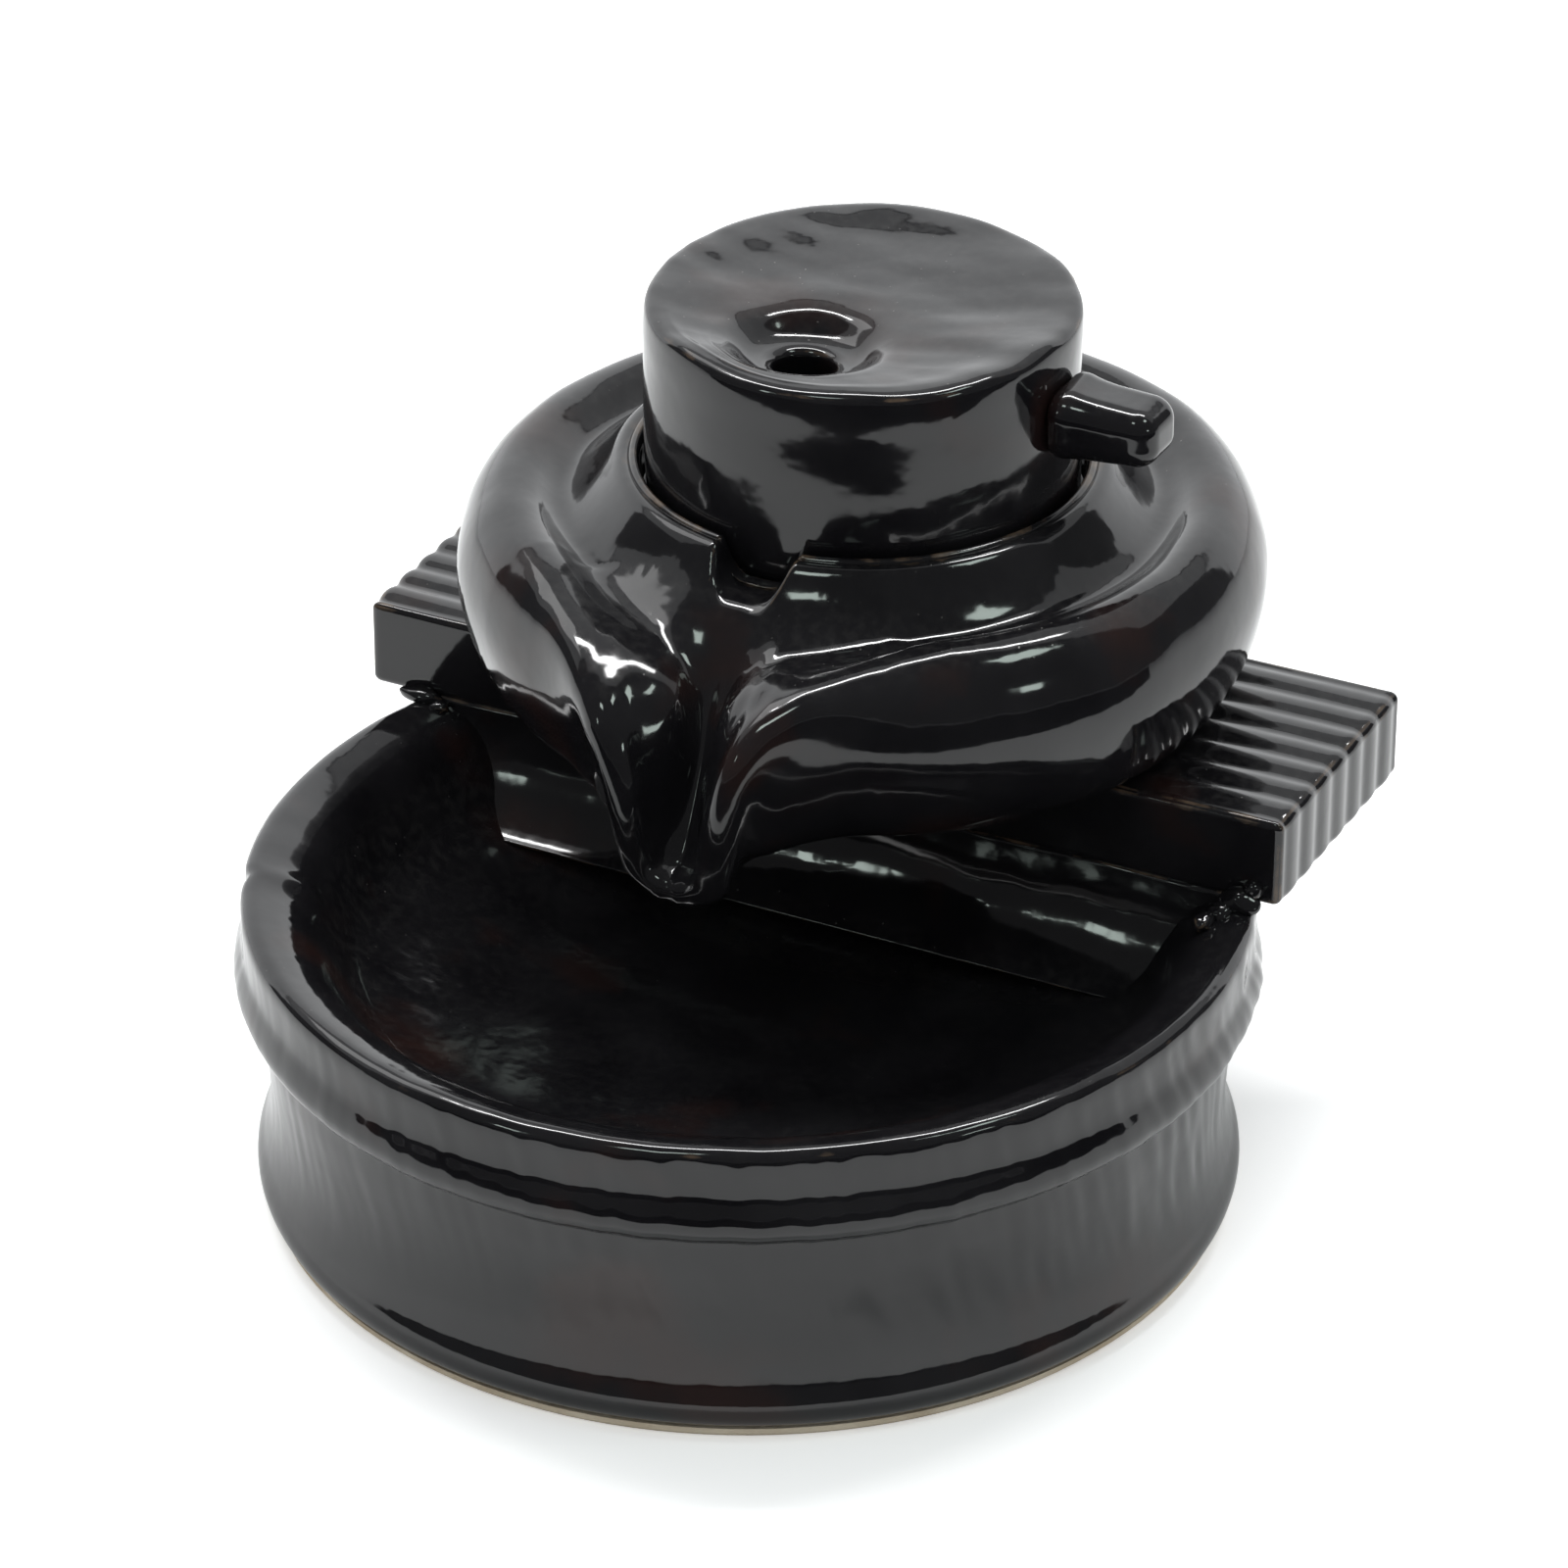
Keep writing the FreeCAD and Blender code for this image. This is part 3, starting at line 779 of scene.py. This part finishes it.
@dataclass
class BedStone:
    """The lower stone: a fat roll round a gutter, pulled out into a pouring spout."""

    columns: int = 640
    step: float = 0.62
    outline: Stations = (
        (0, 46.4), (20, 46.4), (36.2, 46.4), (38.2, 46.8), (40.4, 48.6), (42.3, 51.8), (43.5, 55.8),
        (43.9, 59.8), (43.3, 63.4), (41.8, 66.6), (39.6, 68.6), (37.4, 69), (35.6, 68.4), (34.1, 67.2),
        (33, 66.6), (31.8, 66.7), (30.5, 67.6), (29, 69.1), (27.6, 70.8), (26.7, 71.9), (26, 72.35),
        (25.3, 72.2), (24.8, 71.4), (24.5, 69.6), (24.4, 67.2), (24.4, 67.2), (22, 67), (12, 67), (0, 67))
    crest_radius: float = 37.6
    gutter_radius: float = 32.8
    lip_side: Stations = (
        (0, 0.0), (3, 3.2), (6, 4.4), (9, 5.0), (12, 5.7), (15, 6.8), (18, 8.4), (22, 11.2), (27, 15.2),
        (33, 20.0), (40, 24.17))
    lip_reach: Stations = (
        (0, 44.9), (3, 45.2), (6, 45.6), (9, 45.8), (12, 45.5), (15, 44.6), (18, 42.8), (22, 40.4),
        (27, 37.0), (33, 32.6), (40, 28.8))
    lip_level: Stations = (
        (0, 43.2), (3, 44.2), (6, 47.4), (9, 51.9), (12, 56.8), (15, 60.4), (18, 63.2), (22, 65.6),
        (27, 67.4), (33, 68.5), (40, 69.0))
    spread: float = 40.0
    lip_roll: float = 1.0
    lip_half: float = 1.2
    lip_thickness: float = 0.5
    lip_swell: float = 1.25
    lip_lean: float = 1.6
    softening: int = 6

    def __post_init__(self) -> None:
        """Reads the mill's place."""
        self.ring = Block.of("seat_ring")
        self.centre = Vector((self.ring.middle.x, self.ring.middle.y, 0))
        self.under = Block.of("lower_stone").low.z

    @property
    def crest(self) -> float:
        """Height of the roll's crest."""
        return max(height for radius, height in self.outline if radius > self.gutter_radius)

    def pull(self, point: Vector) -> Vector:
        """Pulls the roll's crest out and down into the spout's two lips and its hanging tip.

        Args:
            point: a point of the clay.

        Returns:
            Where it goes.
        """
        away = point - self.centre
        radius = math.hypot(away.x, away.y)
        angle = math.degrees(math.atan2(away.x, -away.y))
        start_radius = self.gutter_radius - 3
        if abs(angle) >= self.spread or radius < start_radius:
            return point
        turn = math.radians(angle)
        off = abs(angle)
        side = math.copysign(read_curve(self.lip_side, off), angle)
        lean = self.lip_lean * (1 - smooth_step(6, 24, off))
        lip = Vector((side + lean, -read_curve(self.lip_reach, off), read_curve(self.lip_level, off)))
        start = Vector((math.sin(turn), -math.cos(turn), 0)) * self.crest_radius + Vector((0, 0, self.crest))
        shift = lip - start
        if radius >= self.crest_radius or point.z < self.under + 8:
            rise = min(1.0, max(0.0, (point.z - self.under) / (self.crest - self.lip_roll - self.under)))
            weight = Vector((rise ** 1.6, rise ** 4.5, rise))
        else:
            share = (radius - start_radius) / (self.crest_radius - start_radius - self.lip_half)
            share = min(1.0, max(0.0, share))
            weight = Vector((share, share ** 0.7, share ** 1.35))
            narrow = self.lip_thickness * math.sin(math.pi * share ** 1.6) * (1 - smooth_step(13, 30, off))
            shift = shift - Vector((side * narrow / max(share, 0.2), 0, 0))
        return point + Vector(a * b for a, b in zip(shift, weight))

    def soften(self, clay: Clay) -> None:
        """Rounds the spout's lips, as thick glaze does.

        Args:
            clay: the bed stone.
        """
        front = []
        for vert in clay.bm.verts:
            away = vert.co - self.centre
            if away.y < -27 and abs(away.x) < 20 and vert.co.z > self.under - 6:
                front.append(vert)
        axes = {f"use_axis_{axis}": True for axis in "xyz"}
        for _ in range(self.softening):
            bmesh.ops.smooth_vert(clay.bm, verts=front, factor=0.5, **axes)

    def swell(self, point: Vector, normal: Vector) -> float:
        """Thickens the spout's lips and its tip.

        Args:
            point: a point of the clay.
            normal: not used.

        Returns:
            The push along the normal.
        """
        away = point - self.centre
        near = smooth_step(33, 41, -away.y) * (1 - smooth_step(8, 19, abs(away.x)))
        flank = smooth_step(-2, 9, away.x) * (1 - smooth_step(48, 62, point.z))
        return self.lip_swell * near * (1 - 0.5 * smooth_step(60, 66, point.z) + 0.7 * flank)

    def uneven(self, point: Vector, normal: Vector) -> float:
        """Soft lumps of a hand-pressed roll, and finger marks that run down the spout.

        Args:
            point: a point of the clay.
            normal: not used.

        Returns:
            The push along the normal.
        """
        away = point - self.centre
        spout = smooth_step(31, 38, -away.y) * (1 - smooth_step(7, 14, abs(away.x)))
        marks = ripple(Vector((point.x * 2.2, point.y * 0.3, point.z * 0.28)), 3.4, 5.0)
        return 0.26 * ripple(point, 17, 1.0) + 0.09 * ripple(point, 7, 2.0) + 0.34 * spout * marks

    def channel(self, point: Vector) -> Vector:
        """Sinks the smoke channel under the runner stone's front.

        Args:
            point: a point of the clay.

        Returns:
            Where it goes.
        """
        away = point - self.centre
        level = self.ring.low.z
        if away.y > -11 or math.hypot(away.x, away.y) > 26 or point.z < level - 1:
            return point
        sink = (1 - smooth_step(2.2, 3.2, abs(away.x))) * smooth_step(11.5, 13, -away.y)
        return point - Vector((0, 0, 4.4 * sink * (1 - smooth_step(level + 0.5, level + 2, point.z))))

    def build(self) -> None:
        """Throws the stone, pulls its spout, cuts its notch and hands it over."""
        notch = Notch(self.centre, self.ring.high.z - 4.3, self.ring.high.z)
        outline = rounded_outline(self.outline, self.step)
        clay = Clay().throw(outline, self.columns, self.centre)
        clay.warp(self.pull)
        self.soften(clay)
        clay.knead(self.swell)
        self.soften(clay)
        clay.knead(self.uneven).warp(notch.cut).warp(self.channel)
        clay.wear(1.5, facing_up)
        Piece("bed_stone", "burner", ("lower_stone", "spout")).hand_over(clay)


@dataclass
class SeatRing:
    """The thin bead that the runner stone turns in, with the smoke notch through it."""

    columns: int = 480
    thickness: float = 1.4

    def build(self) -> None:
        """Throws the bead and presses the notch through it."""
        block = Block.of("seat_ring")
        runner = Block.of("upper_stone")
        centre = Vector((block.middle.x, block.middle.y, 0))
        inner = runner.half.x + 0.7
        outer = inner + self.thickness
        top = block.high.z
        outline = rounded_outline((
            (inner + 0.1, block.low.z), (inner, block.low.z + 3), (inner, top - 0.9),
            (inner + 0.35, top - 0.2), (inner + self.thickness / 2, top), (outer - 0.35, top - 0.25),
            (outer, top - 1),
            (outer, block.low.z + 3), (outer - 0.1, block.low.z), (inner + 0.1, block.low.z)), 0.3)
        clay = Clay().throw(outline, self.columns, centre)
        clay.knead(lambda point, normal: 0.10 * ripple(point, 9, 3.0))
        clay.warp(Notch(centre, top - 4.3, top).cut).wear(1.2, facing_up)
        Piece("seat_ring_bead", "burner", ("seat_ring",)).hand_over(clay)


@dataclass
class RunnerStone:
    """The hollow upper stone, with its off-centre dimple and smoke hole, and its turning peg."""

    columns: int = 432
    step: float = 0.5
    wall: float = 5.0
    crown: float = 4.6
    edge: float = 1.9
    dish: float = 1.7
    hole_radius: float = 3.3
    dimple: Stations = (
        (3.3, 4.6), (3.35, 3.3), (3.6, 2.8), (4.2, 2.55), (5.3, 2.45), (6.4, 2.05), (7.4, 1.25),
        (8.3, 0.5), (9.7, 0.06))
    peg_cuts: int = 44

    def __post_init__(self) -> None:
        """Reads the runner's place and its smoke hole's axis."""
        self.block = Block.of("upper_stone")
        self.centre = Vector((self.block.middle.x, self.block.middle.y, 0))
        self.radius = self.block.half.x
        mount = next(mount for mount in frame["record"]["mounts"] if mount["name"] == "cone_hole")
        place = Vector(mount["pos_m"]) / MM
        self.hole = Vector((place.x, place.y, 0))

    def top_at(self, point: Vector) -> float:
        """The dished top's height over a point."""
        share = min(1.0, math.hypot(point.x - self.centre.x, point.y - self.centre.y) / (self.radius - 1.0))
        return self.block.high.z - self.dish * (1 - share * share)

    def build(self) -> None:
        """Throws the stone about its smoke hole, then draws its rings back to its own axis."""
        top, floor = self.block.high.z, self.block.low.z
        ceiling = top - self.dish - 3 - self.crown
        bore = self.radius - self.wall
        dimple = [(radius, top - depth) for radius, depth in self.dimple]
        crown = [(12.5, top), (17, top), (self.radius - self.edge, top)]
        side = [
            (self.radius - 0.4, top - 0.45), (self.radius, top - self.edge - 0.4), (self.radius, top - 6),
            (self.radius + 0.1, floor + 12), (self.radius, floor + 2), (self.radius - 0.5, floor + 0.4),
            (self.radius - 1.4, floor + 0.1)]
        inside = [
            (bore + 0.6, floor + 0.1), (bore, floor + 0.8), (bore, ceiling - 3), (bore - 0.9, ceiling - 0.9),
            (bore - 3, ceiling), (10, ceiling), (4, ceiling), (self.hole_radius, ceiling + 0.6)]
        outline = rounded_outline(dimple + crown + side + inside + dimple[:1], self.step)
        turn_over = self.radius - self.edge
        clay = Clay().throw(outline, self.columns, Vector((0, 0, 0)))

        def settle(point: Vector) -> Vector:
            """Moves a ring from the hole's axis towards the stone's and drops it to the dished top.

            Args:
                point: a point of the clay.

            Returns:
                Where it goes.
            """
            radius = math.hypot(point.x, point.y)
            near = self.dimple[-1][0]
            share = min(1.0, max(0.0, (radius - near) / (turn_over - near)))
            if point.z < ceiling + 1.5:
                share = min(1.0, max(0.0, (radius - 5) / (bore - 3 - 5)))
            centre = self.hole.lerp(self.centre, share)
            placed = Vector((point.x + centre.x, point.y + centre.y, point.z))
            sunk = smooth_step(ceiling, ceiling + 4, point.z)
            placed.z -= (top - self.top_at(placed)) * sunk
            return placed

        def lumpy(point: Vector, normal: Vector) -> float:
            """Lumps on the top, soft ripples round the side.

            Args:
                point: a point of the clay.
                normal: its normal.

            Returns:
                The push along the normal.
            """
            upper = smooth_step(0.4, 0.9, normal.z) * smooth_step(top - 4, top - 2, point.z)
            skew = Vector((point.x * 0.55 + point.y * 0.45, point.y - point.x * 0.3, point.z))
            away = smooth_step(6, 11, (Vector((point.x, point.y, 0)) - self.hole).length)
            lumps = 0.40 * ripple(skew, 8, 4.0) + 0.13 * ripple(skew, 3.6, 6.0)
            sides = 0.20 * ripple(point, 9, 2.0) + 0.16 * ripple(point, 19, 7.0)
            outside = smooth_step(self.radius - 3, self.radius - 1, (point - self.centre).xy.length)
            return upper * lumps * away + (1 - upper) * sides * outside

        clay.warp(settle).close().knead(lumpy).wear(1.5, facing_up)
        Piece("runner_stone", "runner", ("upper_stone",)).hand_over(clay)
        self.build_peg()

    def build_peg(self) -> None:
        """A stubby squared peg with a flared root."""
        block = Block.of("turning_peg")
        root = self.centre.x + math.sqrt(self.radius ** 2 - block.half.y ** 2)
        clay = Clay().slab(block, self.peg_cuts, 1.25, 2.6)

        def flare(point: Vector) -> Vector:
            """Widens the peg towards the stone and rounds it a little.

            Args:
                point: a point of the clay.

            Returns:
                Where it goes.
            """
            swell = 1 + 0.42 * math.exp(-max(0.0, point.x - root) / 2.1)
            taper = 1 - 0.05 * smooth_step(root, block.high.x, point.x)
            offset = (point - block.middle) * swell * taper
            return Vector((point.x, block.middle.y + offset.y, block.middle.z + offset.z))

        clay.warp(flare).knead(lambda point, normal: 0.16 * ripple(point, 6, 2.0)).wear(1.5, facing_up)
        Piece("peg", "runner", ("turning_peg",)).hand_over(clay)


# ---------------------------------------------------------------- the studio

@dataclass(frozen=True)
class Lamp:
    """A flat lamp aimed at the burner.

    The bearing is counted from the camera, to the right; radiance sets how bright it looks.
    """

    name: str
    bearing: float
    height: float
    distance: float
    size: tuple[float, float]
    radiance: float
    colour: tuple[float, float, float] = (1, 1, 1)


@dataclass
class Studio:
    """A pale table with a bright card behind it, lamps overhead and the camera."""

    aim: Vector = field(default_factory=lambda: Vector((-3.45, 15.37, 38.65)) * MM)
    to_camera: Vector = field(default_factory=lambda: Vector((0.3885, -0.7724, 0.5025)))
    camera_distance: float = 0.7792
    lens: float = 165.3
    card_distance: float = 1.35
    card_half: float = 2.2
    card_height: float = 1.25
    card_glow: float = 1.4
    ceiling_height: float = 1.3
    ceiling_reach: float = -0.12
    ceiling_glow: float = 0.7
    table_half: float = 4.0
    table_end: float = 0.150
    table_bow: float = 0.45
    table_lift: float = 0.33
    room_reach: float = 3.0
    room_light: float = 0.62
    room_gleam: float = 0.12
    lamps: tuple[Lamp, ...] = (
        Lamp("overhead_strip", 180, 74, 1.0, (0.95, 0.08), 34, (1, 1, 1)),
        Lamp("left_softbox", -128, 52, 1.2, (0.5, 0.5), 2.4, (1, 1, 1)),
        Lamp("front_panel_right", 70, 58, 1.1, (0.22, 0.16), 9, (0.86, 1.0, 0.93)),
        Lamp("front_panel_left", -27, 58, 1.1, (0.2, 0.14), 9, (0.86, 1.0, 0.93)),
        Lamp("side_panel", 47, 17, 1.2, (0.16, 0.1), 9, (0.86, 1.0, 0.93)),
        Lamp("cove_panel", -50.6, 23, 1.09, (0.055, 0.14), 9, (0.86, 1.0, 0.93)),
        Lamp("cove_spot", -47, 24, 1.09, (0.02, 0.03), 9, (0.86, 1.0, 0.93)),
    )

    def direction(self, bearing: float, height: float) -> Vector:
        """A direction by its bearing from the camera, to the right, and its height, in degrees.

        Args:
            bearing: turn about the upright, from the camera.
            height: angle above the table.

        Returns:
            The direction, of length 1.
        """
        front = Vector((self.to_camera.x, self.to_camera.y, 0)).normalized()
        turned = Matrix.Rotation(math.radians(bearing), 3, "Z") @ front
        rise = math.radians(height)
        return turned * math.cos(rise) + Vector((0, 0, math.sin(rise)))

    def stage_mesh(
            self, name: str, corners: Iterable[Vector], material: bpy.types.Material) -> bpy.types.Object:
        """A flat staged sheet.

        Args:
            name: its name.
            corners: its corners in order.
            material: its material.

        Returns:
            The staged object.
        """
        sheet = bmesh.new()
        sheet.faces.new([sheet.verts.new(corner) for corner in corners])
        mesh = bpy.data.meshes.new(name)
        sheet.to_mesh(mesh)
        sheet.free()
        mesh.materials.append(material)
        thing = bpy.data.objects.new(name, mesh)
        bpy.context.scene.collection.objects.link(thing)
        return thing

    def glow(self, name: str, colour: tuple, strength: float) -> bpy.types.Material:
        """A plain glowing material."""
        net = Net(name)
        return net.finish(net.add("ShaderNodeEmission", {}, {"Color": colour, "Strength": strength}))

    def build_table(self) -> None:
        """The table top, and the dark room where it ends."""
        net = Net("table_white")
        mottle = net.ramp(net.clouds(3, 2), (0.3, 0.90), (0.7, 0.93))
        table = net.finish(net.add(
            "ShaderNodeBsdfPrincipled", {}, {
                "Base Color": mottle, "Roughness": 0.9, "Specular IOR Level": 0.0, "Emission Strength": 1.0,
                "Emission Color": net.add("ShaderNodeLightPath", {}, {}, "Is Camera Ray") * self.table_lift}))
        corners = ((-1, -1), (1, -1), (1, 1), (-1, 1))
        self.stage_mesh("table", [Vector((x, y, 0)) * self.table_half for x, y in corners], table)
        lift = Vector((0, 0, 0.0004))
        near = []
        for bearing in range(-84, 85, 6):
            bow = math.cos(math.radians(bearing)) ** self.table_bow
            near.append(self.direction(bearing, 0) * self.table_end / bow + lift)
        far = [self.direction(bearing, 0) * self.room_reach + lift for bearing in (84, 45, 0, -45, -84)]
        dark = self.stage_mesh("dark_room", near + far, self.glow("dark_room", (0.02, 0.02, 0.022, 1), 1.0))
        for way in ("camera", "diffuse", "shadow", "transmission", "volume_scatter"):
            setattr(dark, f"visible_{way}", False)

    def build_card(self) -> None:
        """The bright card behind the burner and the dimmer ceiling that runs forward from it."""
        back, right = self.direction(180, 0) * self.card_distance, self.direction(90, 0)
        wide, tall = right * self.card_half, Vector((0, 0, self.card_height))
        card = self.stage_mesh(
            "back_card", [back - wide, back + wide, back + wide + tall, back - wide + tall],
            self.glow("back_card", (0.97, 0.985, 1.0, 1), self.card_glow))
        card.visible_camera = False
        front, up = self.direction(0, 0) * self.ceiling_reach, Vector((0, 0, self.ceiling_height))
        ceiling = self.stage_mesh(
            "ceiling", [up + front - wide, up + front + wide, up + back + wide, up + back - wide],
            self.glow("ceiling", (0.97, 0.985, 1.0, 1), self.ceiling_glow))
        for way in ("camera", "diffuse", "shadow", "transmission"):
            setattr(ceiling, f"visible_{way}", False)

    def build_lamps(self) -> None:
        """The lamps, each turned to the burner."""
        for lamp in self.lamps:
            data = bpy.data.lights.new(lamp.name, "AREA")
            data.shape = "RECTANGLE"
            data.size, data.size_y = lamp.size
            data.color = lamp.colour
            data.energy = lamp.radiance * math.pi * lamp.size[0] * lamp.size[1]
            thing = bpy.data.objects.new(lamp.name, data)
            bpy.context.scene.collection.objects.link(thing)
            way = self.direction(lamp.bearing, lamp.height)
            thing.location = self.aim + way * lamp.distance
            thing.rotation_euler = way.to_track_quat("Z", "Y").to_euler()
            LOG.info("lamp %s", lamp.name)

    def build_room(self) -> None:
        """A pale surround to look at, dim where it only lights the glaze."""
        world = bpy.data.worlds.new("room")
        bpy.context.scene.world = world
        world.use_nodes = True
        tree = world.node_tree
        tree.nodes.clear()
        path = tree.nodes.new("ShaderNodeLightPath")
        level = tree.nodes.new("ShaderNodeMix")
        level.inputs[2].default_value = self.room_light
        level.inputs[3].default_value = self.room_gleam
        tree.links.new(path.outputs["Is Glossy Ray"], level.inputs[0])
        background = tree.nodes.new("ShaderNodeBackground")
        background.inputs["Color"].default_value = (0.97, 0.98, 1.0, 1)
        tree.links.new(level.outputs[0], background.inputs["Strength"])
        output = tree.nodes.new("ShaderNodeOutputWorld")
        tree.links.new(background.outputs[0], output.inputs["Surface"])

    def build_camera(self) -> None:
        """The camera."""
        data = bpy.data.cameras.new("camera")
        data.lens, data.sensor_width = self.lens, 36.0
        data.clip_start, data.clip_end = 0.01, 50
        thing = bpy.data.objects.new("camera", data)
        bpy.context.scene.collection.objects.link(thing)
        way = self.to_camera.normalized()
        thing.location = self.aim + way * self.camera_distance
        thing.rotation_euler = way.to_track_quat("Z", "Y").to_euler()
        bpy.context.scene.camera = thing
        bpy.context.scene.view_settings.view_transform = "Standard"

    def build(self) -> None:
        """Sets the whole studio up."""
        self.build_camera()
        self.build_table()
        self.build_card()
        self.build_lamps()
        self.build_room()


def main() -> None:
    """Builds the studio and every piece in order, then notes the sizes."""
    logging.basicConfig(level=logging.INFO, format="%(name)s: %(message)s")
    Studio().build()
    basin = Basin()
    basin.build()
    Bridge(basin).build()
    BedStone().build()
    SeatRing().build()
    RunnerStone().build()


if __name__ == "__main__":
    main()
